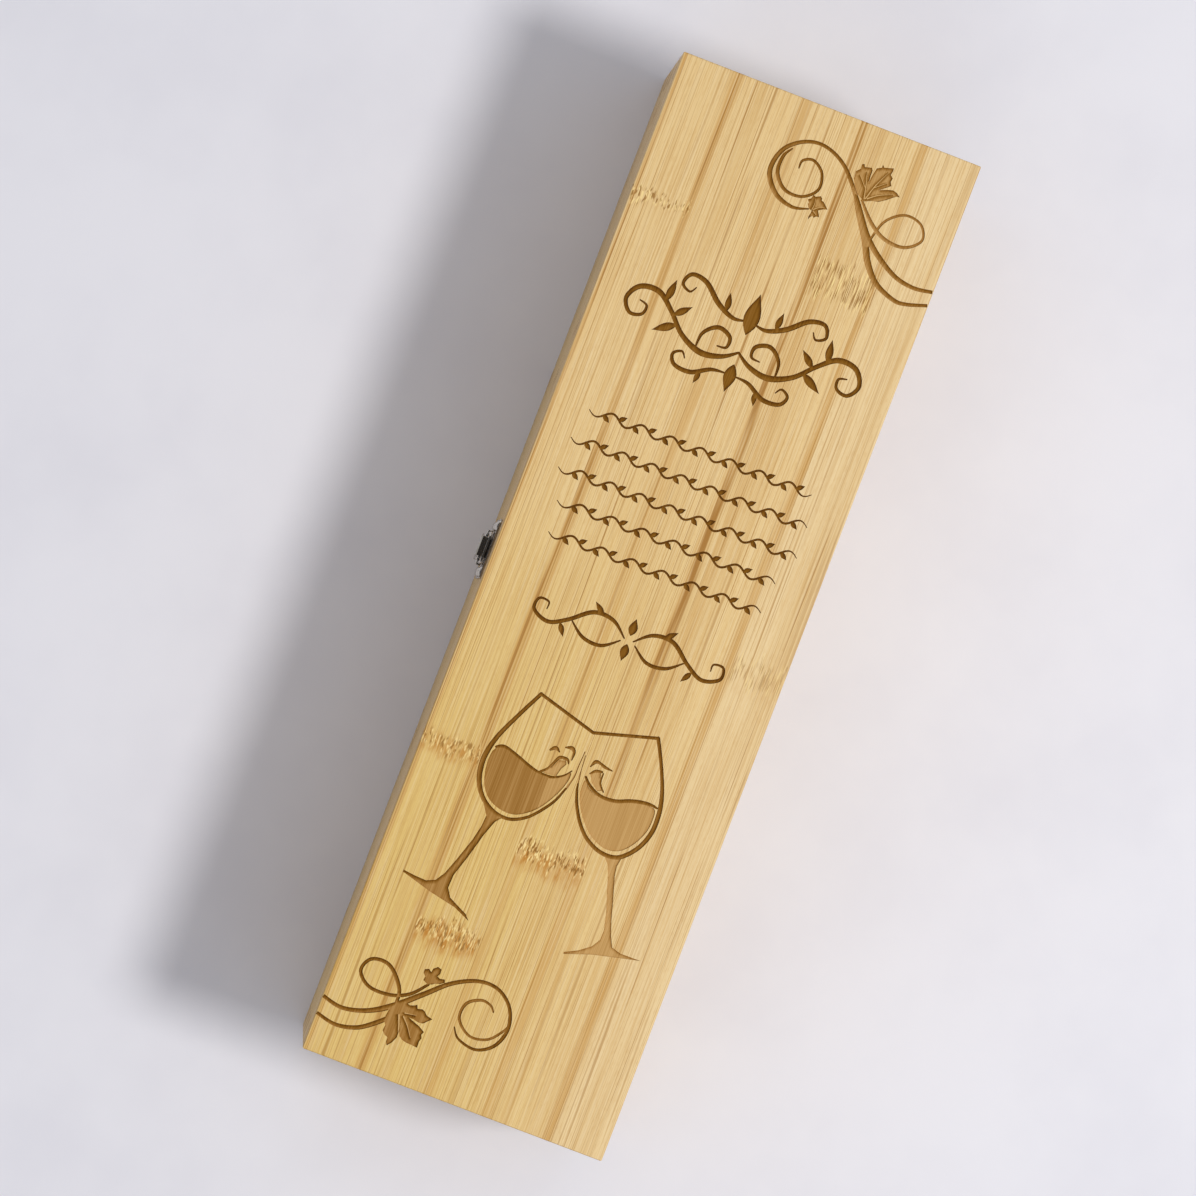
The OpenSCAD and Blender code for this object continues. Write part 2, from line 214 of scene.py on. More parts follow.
def streaks(graph, point, perMm, drawnOut, detail, seed):
    # noise drawn out along the fibres
    stretched = graph.node("ShaderNodeVectorMath", {
        0: point, 1: (1 / drawnOut, 1, 1), 2: (seed * 7.1, seed * 3.3, seed * 5.7)}, operation="MULTIPLY_ADD")
    return graph.noise(stretched, perMm, detail)


def fibreLines(graph, point, across, spacing, width, seed):
    # fine lines along the fibres, some darker than others, each broken into stretches
    row = (across + (streaks(graph, point, 0.2, 150, 2.0, seed) - 0.5) * 8) / spacing
    number = row.floor()
    chance = graph.node("ShaderNodeTexWhiteNoise", {"W": number + seed}, noise_dimensions="1D")
    line = (abs(row - number - 0.3 - chance * 0.4) * spacing).rise(width, width * 0.35)
    return line * (chance * 0.8 + 0.3) * streaks(graph, point, 0.9, 45, 1.0, seed + 0.5).rise(0.34, 0.6)


def lidStrips(board, along, across, medium):
    # joints, amber bands, knuckles, paleness and yellowing of the strips that the lid lists one by one
    strip = 0
    joint = 0
    for y in board["joints"]:
        strip = across.maths("GREATER_THAN", across, y) + strip
        joint = abs(across - y).rise(0.25, 0.08) + joint
    wavy = across + (medium - 0.5) * 3
    band = 0
    blur = board["bandBlur"]
    for low, high, strength in board["bands"]:
        band = wavy.rise(low - blur, low + blur) * wavy.rise(high + blur, high - blur) * strength + band
    knuckles = [(strip.isNumber(number), along - place, *rest) for number, place, *rest in board["knuckles"]]
    paleness = strip.isNumber(board["paleStrip"]) * 0.4
    span = board["ripening"]
    yellowing = along.rise(*span[:2]) * across.rise(*span[2:]) * 0.9 + 0.1
    return joint, band, knuckles, paleness, yellowing


def evenStrips(graph, board, point, along, across, medium):
    # the same for a board of equal strips, with one knuckle by chance in each
    width = board["stripWidth"]
    row = (across + board["shift"]) / width
    strip = row.floor()
    within = row - strip
    joint = (abs(within - 0.5) * width).rise(width / 2 - 0.25, width / 2 - 0.08)
    chance = graph.node("ShaderNodeTexWhiteNoise", {"W": strip + board["seed"]}, out=1, noise_dimensions="1D")
    chances = [graph.node("ShaderNodeSeparateColor", {0: chance}, out=part) for part in range(3)]
    band = (within + (medium - 0.5) * (3 / width)).rise(0.2, 0.05) * chances[0]
    knuckles = [(1, along - (chances[1] - 0.5) * board["length"], 2.2, 0.9, 0.6, 2)]
    return joint, band, knuckles, chances[2] * 0.5, graph.noise(point, 0.012, 1.0).rise(0.3, 0.7)


def knuckleMarks(graph, point, knuckles, seed):
    # dark flecks, pale blooms and the stain around the knuckles
    frayed = (streaks(graph, point, 0.9, 25, 2.0, seed + 2) - 0.5) * 8
    wander = (graph.noise(point, 0.14, 1.0) - 0.5) * 7 + frayed
    flecks = 0
    blooms = 0
    stain = 0
    for here, off, half, strength, stained, aside in knuckles:
        perMm, drawnOut = bambooLook["longMarks" if half > bambooLook["longFrom"] else "marks"]
        away = abs(off + wander)
        flecks = away.rise(half + 1.2, half - 0.8) * here * strength * streaks(
            graph, point, perMm, drawnOut, 1.0, seed + 6).rise(0.51, 0.63) + flecks
        blooms = away.rise(half + 2, half - 0.5) * here * strength * streaks(
            graph, point, perMm, drawnOut, 1.0, seed + 7).rise(0.52, 0.64) + blooms
        stain = abs(off - aside + wander * 0.7).rise(half + 4, half * 0.4) * here * stained + stain
    return flecks, blooms, stain


def bambooGrain(graph, board):
    # colour, height and depth of fibre of a board of pressed bamboo strips
    look = bambooLook
    seed = board["seed"]
    along, across, deep = [
        graph.node("ShaderNodeSeparateXYZ", {0: graph.place()}, out=axis) for axis in board["axes"]]
    point = graph.node("ShaderNodeCombineXYZ", {0: along, 1: across, 2: deep})
    noises = {name: streaks(graph, point, perMm, drawnOut, detail, seed + more)
              for name, (perMm, drawnOut, detail, more) in look["noises"].items()}
    broad, medium, fine = [noises[name] for name in ("broad", "medium", "fine")]
    few, many = look["fewLines"], look["manyLines"]
    lines = fibreLines(graph, point, across, few["spacing"], few["width"], seed + 4).highest(
        fibreLines(graph, point, across, many["spacing"], many["width"], seed + 5) * many["strength"])

    if "joints" in board:
        joint, band, knuckles, paleness, yellowing = lidStrips(board, along, across, medium)
    else:
        joint, band, knuckles, paleness, yellowing = evenStrips(graph, board, point, along, across, medium)
    flecks, blooms, stain = knuckleMarks(graph, point, knuckles, seed)
    blots = streaks(graph, point, 0.7, 3.5, 2.0, seed + 9).rise(0.42, 0.62) * (fine * 0.8 + 0.6)
    dark = lines * (band * 0.2 + 0.72)

    colour = graph.mix(yellowing, look["base"], look["yellow"])
    colour = graph.mix(paleness, colour, look["pale"])
    colour = graph.mix(broad.rise(0.42, 0.7) * look["broadTint"], colour, look["deep"])
    colour = graph.mix(band * (fine * 1.1 + 0.4), colour, look["amber"])
    for name, low, high, strength, shade in look["tints"]:
        colour = graph.mix(noises[name].rise(low, high) * strength, colour, look[shade])
    colour = graph.mix(dark, colour, look["fibre"])
    colour = graph.mix(joint * look["jointTint"], colour, look["fibre"])
    colour = graph.mix(stain * (blots * 0.6 + 0.3), colour, look["stain"])
    colour = graph.mix(blooms * look["blooming"], colour, look["bloom"])
    colour = graph.mix(flecks * look["flecking"], colour, look["knuckle"])

    # a face across the fibres shows the ends of their bundles
    facing = graph.node("ShaderNodeSeparateXYZ", {0: graph.node("ShaderNodeTexCoord", {}, out=1)},
                        out=board["axes"][0])
    cut = abs(facing).rise(0.75, 0.95)
    bundles = graph.noise(point, 0.9, 1.0).rise(0.42, 0.62)
    colour = graph.mix(cut * (bundles * 0.5 + 0.35), colour, look["ends"])
    height = medium * 0.4 + fine * 0.6 - dark * 0.3 - joint * 0.9 - flecks * 0.2
    return colour, height, fine * 0.6 + medium * 0.4


def bambooMaterial(name, board):
    material, graph, shader = newMaterial(name)
    colour, height, fibres = bambooGrain(graph, board)
    graph.feed(shader.inputs["Base Color"], colour)
    graph.feed(shader.inputs["Roughness"], fibres * 0.2 + (bambooLook["roughness"] - 0.1))
    shader.inputs["Specular IOR Level"].default_value = bambooLook["gloss"]
    graph.feed(shader.inputs["Normal"], graph.node("ShaderNodeBump", {
        "Height": height, "Strength": 0.6, "Distance": bambooLook["bumpHeight"] * mm}))
    return material


# Burnt floor of the engraving; the mesh says how dark each spot is burnt, with painted shade added along the
# floors' shaded edges
burntLook = {
    "tones": [tone(212, 172, 112), tone(190, 147, 87), tone(158, 112, 52), tone(128, 84, 20),
              tone(92, 54, 4)],
    "fibres": 0.7,
    "roughness": 0.85,
    "gloss": 0.1,
    "bumpHeight": 0.03,
}


def burntAndShadedMaterial(name, board):
    material, graph, shader = newMaterial(name)
    height, fibres = bambooGrain(graph, board)[1:]
    char = graph.node("ShaderNodeAttribute", {}, out=2, attribute_name="char")
    steps = len(burntLook["tones"]) - 1
    graph.feed(shader.inputs["Base Color"], graph.node(
        "ShaderNodeValToRGB", {0: char + (fibres - 0.5) * burntLook["fibres"]},
        stops=[(step / steps, burnt) for step, burnt in enumerate(burntLook["tones"])]))
    shader.inputs["Roughness"].default_value = burntLook["roughness"]
    shader.inputs["Specular IOR Level"].default_value = burntLook["gloss"]
    graph.feed(shader.inputs["Normal"], graph.node("ShaderNodeBump", {
        "Height": height, "Strength": 0.7, "Distance": burntLook["bumpHeight"] * mm}))
    return material


nickelLook = {"colour": tone(196, 190, 181), "tarnish": tone(150, 138, 118), "clouding": 0.35,
              "roughness": 0.16, "bumpHeight": 0.01}


def nickelMaterial(name):
    material, graph, shader = newMaterial(name)
    point = graph.place()
    clouds = graph.noise(point, 0.25, 1.0)
    grain = graph.noise(point, 6.0, 3.0, 0.6)
    graph.feed(shader.inputs["Base Color"], graph.mix(
        clouds.rise(0.45, 0.8) * nickelLook["clouding"], nickelLook["colour"], nickelLook["tarnish"]))
    graph.feed(shader.inputs["Roughness"], clouds * 0.16 + grain * 0.08 + (nickelLook["roughness"] - 0.1))
    shader.inputs["Metallic"].default_value = 1.0
    graph.feed(shader.inputs["Normal"], graph.node("ShaderNodeBump", {
        "Height": grain, "Strength": 0.25, "Distance": nickelLook["bumpHeight"] * mm}))
    return material


lidBamboo = bambooMaterial("lidBamboo", lidBoard)
burntBamboo = burntAndShadedMaterial("burntBamboo", lidBoard)
brightNickel = nickelMaterial("brightNickel")
print("materials of the lid and the fittings made")


# The engraving, in (across, along) from the lid's corner at the latch's side and the neck's end.
# Strokes are (across, along, width) and run smoothly through their points. Every shape has its burn and
# its painted shade, as (burn all over, painted shade added along its shaded edges, how far in from them).

engraving = {
    "depth": 0.4,
    "step": 0.5,            # between the cross lines of a stroke
    "lanes": 4,             # side by side in a stroke
    "narrowest": 0.15,
    "roundSides": 12,
    "openEnd": 1,           # a stroke that ends this near to the lid's long edges runs out over them
    "spacing": 0.45,        # between the points inside a wide floor
    "wineStep": 1.2,
    "shift": (-0.33, -0.6),     # moves the whole drawing
    "shadeFrom": [(-0.36, -0.94), (0.41, -0.91), (0.94, -0.36)],    # towards the edges that are shaded
    "shadeSteps": 10,
    "shadeStep": 0.16,
    "wallBurn": 0.5,
}
lidCentre = 52.5        # across

# each is (burn all over, painted shade along the shaded edges, how far in that painted shade reaches)
burnsAndShades = {
    "upperScroll": (0.36, 0.5, 1.5), "upperLoop": (0.24, 0.42, 1.3), "lowerScroll": (0.42, 0.58, 1.5),
    "lowerCurl": (0.3, 0.46, 1.3), "upperLeaf": (0.3, 0.5, 1.1), "lowerLeaf": (0.46, 0.54, 1.1),
    "glass": (0.42, 0.54, 1.6), "brim": (0.25, 0.2, 1.0), "drop": (0.4, 0.5, 1.0),
    "splash": (0.2, 0.3, 0.8), "darkWine": (0.47, 0.3, 0.8), "paleWine": (0.24, 0.24, 0.8),
    "leftStem": (0.44, 0.5, 1.3), "rightStem": (0.22, 0.3, 0.9), "ornament": (0.72, 0.3, 1.2),
    "vein": (0.1, 0.1, 1.0),
}

upperScroll = [
    [(57, 34.2, 0.5), (51.5, 35.5, 1.2), (45, 33.2, 1.6), (40.7, 27, 1.7), (42.2, 19, 1.5),
     (48, 14, 1.3), (55, 13, 1.2), (63, 16.7, 1.3), (71, 25.7, 1.5), (79.5, 36.7, 1.9), (90, 44, 1.6),
     (98, 46, 1.4), (105, 45.1, 1.2)],
    [(68.5, 22.2, 0.8), (72.5, 29, 1.5), (78, 37, 2.2), (81.5, 43.5, 2.2), (86.5, 49, 1.8),
     (93.5, 52, 1.5), (98, 52, 1.3), (105, 49.8, 1.1)],
    [(49.3, 22.7, 0.5), (49.6, 20, 0.9), (53, 18.7, 1.0), (57, 21.7, 1.0), (57.8, 27.2, 1.0),
     (53.5, 31.2, 1.0), (47.5, 31.1, 1.2), (43.3, 26.7, 1.3), (43.1, 21, 1.1), (45, 17.6, 0.5)],
]
upperLoop = [(72.5, 25.2, 0.8), (78, 31, 1.3), (84, 34.5, 1.3), (91, 34.7, 1.1), (95.7, 30.5, 0.9),
             (93.5, 25.7, 0.9), (87.5, 24.7, 0.9), (82, 29, 0.9), (79.7, 36, 0.8)]
lowerScroll = [
    [(0.6, 332.1, 1.2), (7.5, 333.6, 1.4), (15.5, 331.7, 1.6), (23, 327.2, 2.0), (31, 320.2, 1.8),
     (38.5, 313.5, 1.5), (46.5, 309.7, 1.3), (53.5, 309.9, 1.2), (59, 314.2, 1.2), (61.1, 321, 1.3),
     (59, 327.5, 1.2), (53.5, 331, 1.0), (47, 329.7, 0.8), (44.4, 326.5, 0.4)],
    [(0.6, 338, 1.1), (7.5, 339.5, 1.3), (14.5, 338, 1.5), (20, 334.2, 1.6), (24.5, 330, 1.4),
     (27, 328, 0.8)],
    [(23.7, 328.5, 0.9), (23.2, 321.5, 1.3), (17.5, 315.2, 1.3), (11.2, 315.2, 1.2), (9.1, 320, 1.2),
     (13.5, 324, 1.2), (21, 324.1, 1.2), (27, 321.5, 1.2), (31.5, 316.5, 0.9)],
]
lowerCurl = [(54.6, 317.4, 0.6), (53, 315.7, 0.8), (49.5, 315.2, 1.0), (45.3, 318, 1.1),
             (45, 323.5, 1.0), (50, 327.5, 0.9), (56, 326.5, 0.9), (60, 322, 0.8), (60.8, 319.5, 0.4)]

# Vine leaves, as outlines with straight notches, and their veins, which are hardly burnt
upperLeaf = [
    (73.2, 25.3), (70.4, 23.8), (68.6, 21.6), (67.4, 19.4), (67.2, 16.9), (68.5, 15.6), (68.3, 14.1),
    (69, 13.7), (69.5, 14.6), (71.7, 14), (72.3, 14.8), (72.3, 16.6), (72.5, 18.6), (72.9, 15.8),
    (73.3, 13.6), (74.8, 12.8), (74.8, 11.7), (75.5, 12.5), (78.6, 11.6), (78.7, 12.6), (78.4, 14),
    (79.4, 14.8), (79.2, 16.2), (79.9, 17.3), (78.6, 18.4), (76.6, 20), (79.2, 18.9), (81, 18.4),
    (82.4, 18.8), (83.8, 19.8), (82.6, 20), (81.4, 21), (80, 22.2), (77.6, 23.8), (75.6, 24.2),
]
upperVeins = [
    [(73, 24.4, 0.4), (72, 20, 0.3), (70.8, 15.8, 0.12)],
    [(73.4, 24.2, 0.4), (75, 19, 0.3), (77.6, 13.4, 0.12)],
    [(74, 24, 0.4), (77, 21.7, 0.3), (81.6, 19.6, 0.12)],
    [(72.2, 21, 0.25), (69, 17.6, 0.12)],
    [(74.6, 20, 0.25), (78.4, 16.8, 0.12)],
]
upperLeaflet = [
    (57.1, 34), (56.3, 32.8), (56.4, 32), (55.7, 31.4), (56.7, 30.5), (57, 29.2), (57.8, 29.6),
    (59.4, 28.8), (60.1, 29.4), (60.1, 30), (61, 30.3), (62.1, 31.3), (63, 32.1), (61.6, 32.6),
    (60.2, 33.5), (60.7, 34.4), (61.3, 35.5), (60.3, 35.6), (59.7, 36.3), (59.1, 35.9), (58.5, 36.4),
    (58.1, 37.5), (57.9, 36.5), (58.2, 35.2), (58.2, 34.3),
]
leafletVeins = [
    [(58.2, 33.9, 0.35), (58.4, 32, 0.25), (58.1, 30.2, 0.12)],
    [(58.7, 33.7, 0.35), (60, 32.6, 0.25), (61.8, 31.9, 0.12)],
    [(58.7, 34.2, 0.3), (60.1, 35.1, 0.12)],
]
lowerLeaf = [
    (22, 331), (22.4, 328.4), (23.8, 326), (26.3, 324.4), (28.3, 325), (29.5, 324.6), (30.5, 324),
    (31, 325.2), (32.6, 324.8), (33.6, 325.2), (34.6, 326.2), (36.8, 326.7), (35.6, 327.9),
    (34.4, 329.1), (32.8, 329.3), (31, 328.9), (29.4, 328.9), (31.4, 329.6), (33.4, 330.3),
    (35.7, 331.6), (35.2, 332.7), (35.7, 333.8), (35.3, 335), (35.4, 337.2), (33.8, 337), (31.4, 336.9),
    (29.8, 336.5), (28.6, 335.6), (27.9, 334), (28, 336.4), (27, 338.6), (25.8, 340), (25.2, 338.9),
    (25.1, 337.4), (23.9, 336.9), (22.8, 335.8), (23, 334), (22.3, 332.6),
]
lowerVeins = [
    [(26, 329.2, 0.5), (27, 331.8, 0.45), (27.9, 334.6, 0.3)],
    [(27.6, 329.2, 0.35), (29.9, 331.6, 0.3), (32.2, 335, 0.12)],
    [(27.6, 328, 0.3), (31.4, 327.4, 0.12)],
]
lowerLeaflet = [
    (30.8, 316.4), (29.4, 315.7), (29.6, 314.4), (28.6, 313.4), (28.6, 312.2), (29.9, 311.6),
    (30.9, 312.4), (31.1, 311.1), (32.4, 310), (33.8, 310.4), (33.9, 311.9), (33.3, 313), (34.3, 313.4),
    (35.9, 313.1), (36.3, 314.1), (35, 315), (33.4, 315.5), (32.4, 316.2),
]

# The two glasses meet under one rim. A brim is the thin line up from the bowl where the glasses touch,
# and the wine in the left one is dark on its left side only.
leftGlass = {
    "bowl": [(32, 214.4, 1.3), (27.2, 224.2, 1.4), (23.6, 232.4, 1.6), (22, 239.2, 1.8),
             (22.2, 244.8, 1.8), (23.8, 249.6, 1.7), (26.9, 253.5, 1.5), (31.2, 256, 1.4),
             (35.5, 256.6, 1.2), (39, 255.7, 1.1), (42.7, 253.3, 1.0), (46.2, 249.3, 1.0),
             (48.9, 245.1, 0.9), (50.6, 240.5, 0.7)],
    "brim": [(50.6, 240.8, 0.7), (51.8, 236, 0.5), (51.9, 232.3, 0.4), (52.2, 227, 0.3)],
    "surface": [(24.4, 235.8, 0.9), (26, 235, 1.2), (27.9, 235, 1.3), (32.5, 236.5, 1.4),
                (36.7, 238, 1.4), (40.6, 238.9, 1.3), (45.1, 238.6, 0.9), (48.5, 236.7, 0.6),
                (50.4, 234.4, 0.4)],
    "wine": [(24.3, 236.4), (27.8, 235.4), (32.5, 236.8), (36.7, 238.3), (40.6, 239.1), (45.1, 238.8),
             (48.5, 236.8), (50.3, 235), (50.6, 236.9), (49.8, 240.4), (47.7, 245), (44.9, 249.3),
             (41.4, 252.6), (37.4, 254.6), (32.7, 254.5), (28.4, 252.7), (25.5, 249.4), (23.9, 244.9),
             (23.4, 240.2)],
    "stem": [(26.6, 253.8), (29.4, 258), (29.1, 262), (28, 267), (25.4, 275), (23.4, 280.5),
             (21.4, 283.6), (18.5, 284.9), (14.5, 284.7), (10.4, 284.2), (10.4, 284.9), (21.2, 287.9),
             (30.3, 289.8), (36.3, 292.4), (34.6, 290.6), (28, 287.4), (26.2, 284.6), (26.4, 280),
             (28.6, 273), (31, 264), (32.8, 259), (34.6, 256.8)],
    "drops": [[(41.3, 230.4, 0.7), (42.8, 229.2, 1.4), (44.4, 230, 0.4)],
              [(45.8, 227.9, 0.5), (47.8, 227.4, 1.4), (49, 228.5, 1.0), (49.1, 231.1, 0.4)],
              [(40.8, 238.2, 0.8), (42.9, 236.2, 0.9), (44.4, 232.9, 1.0), (45.3, 231.6, 1.2),
               (47.7, 231.4, 1.0), (48.5, 232.6, 0.4)]],
    "splash": [(41.8, 238.2), (43.8, 235.6), (45.2, 232.6), (47.4, 231.8), (48, 233), (46.9, 235),
               (46.2, 237.8)],
    "darkWineTo": 44.2,
}
rightGlass = {
    "bowl": [(73.1, 214.3, 1.3), (75.9, 219.6, 1.2), (78.6, 225.3, 1.2), (80.9, 231.2, 1.4),
             (82.2, 237.4, 1.6), (82.1, 244.2, 1.6), (79.6, 250.6, 1.5), (74.7, 255.5, 1.5),
             (68.8, 256, 1.4), (63.1, 253.5, 1.3), (59.1, 249.5, 1.2), (56.1, 244.6, 1.1),
             (54.4, 240.3, 0.9), (53.8, 237.6, 0.6)],
    "brim": [(53.8, 237.6, 0.5), (53.2, 233, 0.3), (52.8, 228, 0.2)],
    "surface": [(55.4, 234.6, 0.8), (57.3, 236.5, 1.0), (60.3, 238.2, 1.1), (63.5, 238.9, 1.2),
                (67.6, 238.5, 1.3), (71.6, 236.9, 1.3), (75.4, 235.9, 1.3), (78.7, 235.6, 1.1),
                (80.9, 235.9, 0.7)],
    "wine": [(55.5, 235.6), (57.2, 237.2), (60.2, 238.8), (63.5, 239.4), (67.6, 239), (71.6, 237.4),
             (75.4, 236.4), (78.7, 236.2), (80.6, 236.8), (81, 240.5), (80.4, 244.8), (77.8, 250),
             (74, 253.6), (69, 254.3), (63.8, 252), (60.1, 248.5), (57.1, 244.2), (55.5, 240)],
    "stem": [(70, 256.2), (72.4, 258.9), (73.8, 262.4), (75.6, 268), (77.5, 273.5), (79, 279.7),
             (78.9, 282.8), (77.1, 285.8), (73.4, 288.6), (69.1, 290.8), (69.3, 291.4), (77.8, 288.4),
             (86.4, 286.3), (93.9, 284.6), (86.7, 284.7), (83.5, 283.8), (81.8, 280.4), (80.2, 275.9),
             (78.2, 269.1), (75.9, 261.6), (75.4, 258.4), (76, 255)],
    "drops": [[(55.6, 230.9, 0.4), (56.7, 228.8, 1.3), (58.4, 228.8, 0.9), (60.1, 229.4, 1.1),
               (62.8, 229.7, 0.4)],
              [(56.3, 233.1, 0.5), (57.8, 231.7, 1.1), (59.8, 231.2, 0.8)],
              [(60.4, 231.6, 0.5), (60.6, 234.9, 0.7), (62.5, 237.2, 0.5)]],
    "splash": [(56.4, 233), (57.8, 232), (59.6, 231.6), (60.4, 234.6), (61.8, 237), (60.6, 237.6),
               (57.8, 235.6)],
    "darkWineTo": 0,
}
rim = [(32, 214.4, 1.1), (52.5, 220.2, 1.1), (73.1, 214.3, 1.1)]

# Plain ornaments in the middle, each drawn from the lid's centre line and mirrored.
# Petals are (across, along, across, along, width), from stalk to tip.
flourish = {
    "along": 83.4,
    "strokes": [
        [(0, 3.2, 0.8), (5, 6.4, 1.6), (12, 7.6, 2.1), (19.5, 4.4, 1.7), (25.5, -1.6, 1.6),
         (31.5, -6.2, 1.9), (38, -5.6, 1.8), (41, -0.6, 1.5), (38.4, 3.6, 1.3), (34.4, 2.8, 1.1),
         (33.8, -0.4, 0.9), (36.4, -1.4, 0.5)],
        [(14, 7.2, 0.5), (13.4, 1.4, 1.2), (9.2, -2.2, 1.5), (4.6, -0.6, 1.4), (4.4, 3, 1.0),
         (7.4, 3.6, 0.5)],
        [(1.4, -7.4, 0.5), (6, -6.8, 1.4), (12, -9.6, 1.8), (18, -14.6, 1.7), (23.4, -15.4, 1.4),
         (25.2, -11.6, 1.1), (22.2, -9.8, 0.8), (20.6, -11.8, 0.4)],
        [(1.6, 11, 0.5), (6.6, 11.6, 1.3), (12.6, 14.8, 1.6), (18.4, 14.4, 1.4), (20.2, 11.2, 1.1),
         (17.6, 9.4, 0.8), (16, 11.2, 0.4)],
    ],
    "petals": [(0, -3, 0, -17.4, 5.4), (0, 7.2, 0, 17, 4.2), (22, 1.8, 29.6, 6.4, 2.8),
               (28.4, -4, 27.4, -12, 2.6), (8.6, -8, 9.4, -14.4, 2.2), (24.6, -0.6, 19.4, -5.4, 2.4),
               (9.6, 13.4, 10.6, 18, 1.8)],
}
divider = {
    "along": 187.6,
    "strokes": [
        [(1.6, 0, 0.5), (7, -4.2, 1.3), (14, -4.4, 1.5), (21, 0.8, 1.4), (27, 3.8, 1.4),
         (32.6, 1.6, 1.2), (32.4, -2.4, 0.9), (29, -2.4, 0.7), (28.8, 0, 0.4)],
        [(2.6, 1.2, 0.5), (8, 5, 1.2), (14.4, 4.6, 1.2), (19.6, 0.8, 0.5)],
    ],
    "petals": [(0, -1.4, 0, -7.4, 3), (0, 1.4, 0, 7.4, 3), (10.6, -4.6, 14.6, -8, 1.9),
               (23.2, 2.6, 20.6, 6.8, 1.9)],
}
vineRows = {
    "along": [121.6, 132.2, 142.8, 153.2, 163.8],
    "from": [13.4, 11, 10.6, 14.2, 15.2],
    "wave": 10.6,
    "rise": 1.4,
    "width": 0.75,
    "leaf": {"back": 0.35, "reach": 0.45, "lift": 1.872, "width": 1.7},
}


def smoothPath(points, step, closed=False):
    # a curve through the points, sampled about every step; each point may carry a width
    path = []
    count = len(points)
    spans = count if closed else count - 1
    for i in range(spans):
        if closed:
            before, start, end, after = [points[(i + k) % count] for k in (-1, 0, 1, 2)]
        else:
            before, start, end, after = [points[min(max(i + k, 0), count - 1)] for k in (-1, 0, 1, 2)]
        pieces = max(1, round(math.dist(start[:2], end[:2]) / step))
        for k in range(pieces):
            t = k / pieces
            path.append([
                0.5 * (2 * b + (c - a) * t + (2 * a - 5 * b + 4 * c - d) * t * t
                       + (3 * b - a - 3 * c + d) * t ** 3)
                for a, b, c, d in zip(before, start, end, after)])
    if not closed:
        path.append(list(points[-1]))
    return path


class Plan:
    # outlines on the lid's top, which are cut into one flat net of triangles
    def __init__(self):
        self.points = []
        self.loops = []
        self.marks = []

    def add(self, outline, mark):
        area = sum(a[0] * b[1] - b[0] * a[1] for a, b in zip(outline, outline[1:] + outline[:1]))
        if abs(area) < 1e-4:
            return
        first = len(self.points)
        self.points += [Vector(p[:2]) for p in outline]
        loop = list(range(first, len(self.points)))
        self.loops.append(loop if area > 0 else loop[::-1])
        self.marks.append(mark)

    def stroke(self, points, mark):
        path = smoothPath(points, engraving["step"])
        lanes = engraving["lanes"]
        rows = []
        for i, (x, y, width) in enumerate(path):
            a, b = path[max(i - 1, 0)], path[min(i + 1, len(path) - 1)]
            run = Vector((b[0] - a[0], b[1] - a[1])).normalized()
            side = Vector((-run.y, run.x)) * max(width, engraving["narrowest"]) / 2
            rows.append([Vector((x, y)) + side * (2 * k / lanes - 1) for k in range(lanes + 1)])
        for near, far in zip(rows, rows[1:]):
            for k in range(lanes):
                self.add([near[k], near[k + 1], far[k + 1], far[k]], mark)
        for x, y, width in (path[0], path[-1]):
            if engraving["openEnd"] < x < 2 * lidCentre - engraving["openEnd"]:
                self.disc(x, y, width / 2, mark)

    def disc(self, x, y, radius, mark):
        sides = engraving["roundSides"]
        if radius > 0.1:
            turns = [2 * math.pi * k / sides for k in range(sides)]
            self.add([(x + radius * math.cos(turn), y + radius * math.sin(turn)) for turn in turns], mark)

    def fill(self, outline, mark):
        # a wide floor, with loose points inside so that its shading has something to hold on to
        self.add(outline, mark)
        spacing = engraving["spacing"]
        xs, ys = [p[0] for p in outline], [p[1] for p in outline]
        for i in range(int((max(xs) - min(xs)) / spacing)):
            for k in range(int((max(ys) - min(ys)) / spacing)):
                shift = 0.5 * (k % 2)
                self.points.append(Vector((min(xs) + (i + 0.3 + shift) * spacing,
                                           min(ys) + (k + 0.5) * spacing)))


def petal(x0, y0, x1, y1, width):
    # a pointed leaf from one point to the other
    run = Vector((x1 - x0, y1 - y0))
    side = Vector((-run.y, run.x)).normalized() * width / 2
    steps = 10
    swell = [(k / steps, math.sin(math.pi * (k / steps) ** 0.8) ** 1.2) for k in range(steps + 1)]
    edge = [Vector((x0, y0)) + run * t + side * s for t, s in swell]
    back = [Vector((x0, y0)) + run * t - side * s for t, s in swell[1:-1]]
    return edge + back[::-1]


def drawOrnament(plan, ornament):
    middle = ornament["along"]
    for side in (1, -1):
        for points in ornament["strokes"]:
            plan.stroke([(lidCentre + side * x, middle + y, width) for x, y, width in points], "ornament")
        for x0, y0, x1, y1, width in ornament["petals"]:
            if side == 1 or x0:     # a petal on the centre line is drawn once
                plan.fill(petal(lidCentre + side * x0, middle + y0,
                                lidCentre + side * x1, middle + y1, width), "ornament")


def drawVine(plan, along, start):
    # a wavy stalk across the lid, thinner at its ends, with a leaf in every bend
    half = lidCentre - start
    bends = round(2 * half / vineRows["wave"] * 2)
    reach = half / bends * 2
    stalk = []
    for k in range(bends * 4 + 1):
        t = k / 4
        thinner = min(1, (0.6 + min(t, bends - t)) / 1.6)
        stalk.append((start + t * reach, along + vineRows["rise"] * math.sin(math.pi * t),
                      vineRows["width"] * thinner))
    plan.stroke(stalk, "ornament")
    leaf = vineRows["leaf"]
    for k in range(1, bends):
        side = 1 if k % 2 else -1
        x = start + k * reach
        plan.fill(petal(x - leaf["back"], along, x + leaf["reach"] * reach, along + side * leaf["lift"],
                        leaf["width"]), "ornament")


